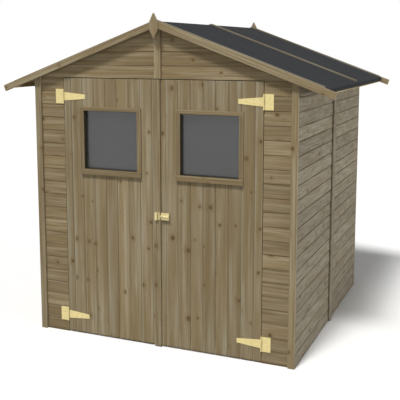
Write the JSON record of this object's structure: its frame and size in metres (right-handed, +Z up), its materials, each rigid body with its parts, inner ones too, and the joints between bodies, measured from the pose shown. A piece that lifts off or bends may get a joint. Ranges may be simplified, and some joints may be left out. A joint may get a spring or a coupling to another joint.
{
  "type": "garden shed",
  "caption": "Wooden garden shed with lapped board walls, an apex felt roof and two hinged doors with windows and a bolt.",
  "frame": {"origin": "on the ground, in the middle of the plan", "axes": "+X to the right along the front, -Y out of the doors, +Z up"},
  "size_m": [2.29, 1.936, 2.1625],
  "materials": {
    "cladding": "pressure-treated softwood, rough sawn",
    "door_boards": "pressure-treated softwood, planed",
    "trim_timber": "pressure-treated softwood, planed",
    "framing": "pressure-treated softwood, rough sawn",
    "roof_timber": "pressure-treated sheathing boards",
    "floor_timber": "pressure-treated softwood, rough sawn",
    "roofing_felt": "mineral roofing felt",
    "window_glass": "clear glazing",
    "hinge_metal": "yellow zinc plate",
    "bolt_metal": "yellow zinc plate"
  },
  "bodies": {
    "shed": {"floor_deck": "floor_timber", "floor_bearers": "floor_timber", "front_wall_left": "cladding", "front_wall_right": "cladding", "front_gable": "cladding", "rear_wall_left": "cladding", "rear_wall_right": "cladding", "left_wall_front": "cladding", "left_wall_rear": "cladding", "right_wall_front": "cladding", "right_wall_rear": "cladding", "front_frame": "framing", "rear_frame": "framing", "left_frame": "framing", "right_frame": "framing", "corner_strips": "trim_timber", "side_wall_strips": "trim_timber", "front_gable_strip": "trim_timber", "rear_middle_strip": "trim_timber", "roof_deck_left": "roof_timber", "roof_deck_right": "roof_timber", "roof_felt_left": "roofing_felt", "roof_felt_right": "roofing_felt", "roof_purlins": "framing", "eave_battens": "framing", "felt_battens": "trim_timber", "barge_boards": "trim_timber", "finials": "trim_timber", "hinge_plates": "hinge_metal"},
    "left_door": {"left_door_leaf": "door_boards", "left_door_framing": "framing", "left_window_frame": "trim_timber", "left_window_glass": "window_glass", "left_door_straps": "hinge_metal", "meeting_strip": "trim_timber", "bolt_keep": "bolt_metal"},
    "right_door": {"right_door_leaf": "door_boards", "right_door_framing": "framing", "right_window_frame": "trim_timber", "right_window_glass": "window_glass", "right_door_straps": "hinge_metal", "bolt_packer": "trim_timber", "bolt_plate": "bolt_metal"},
    "bolt": {"bolt_rod": "bolt_metal"}
  },
  "joints": [
    {"name": "left_door_hinge", "type": "hinge", "parent": "shed", "child": "left_door", "pos_m": [-0.698, -0.9045, 0.88], "axis": [0, 0, -1], "range_deg": [0, 150]},
    {"name": "right_door_hinge", "type": "hinge", "parent": "shed", "child": "right_door", "pos_m": [0.698, -0.9045, 0.88], "axis": [0, 0, 1], "range_deg": [0, 150]},
    {"name": "bolt_slide", "type": "slide", "parent": "right_door", "child": "bolt", "axis": [-1, 0, 0], "range_m": [0, 0.035]}
  ]
}
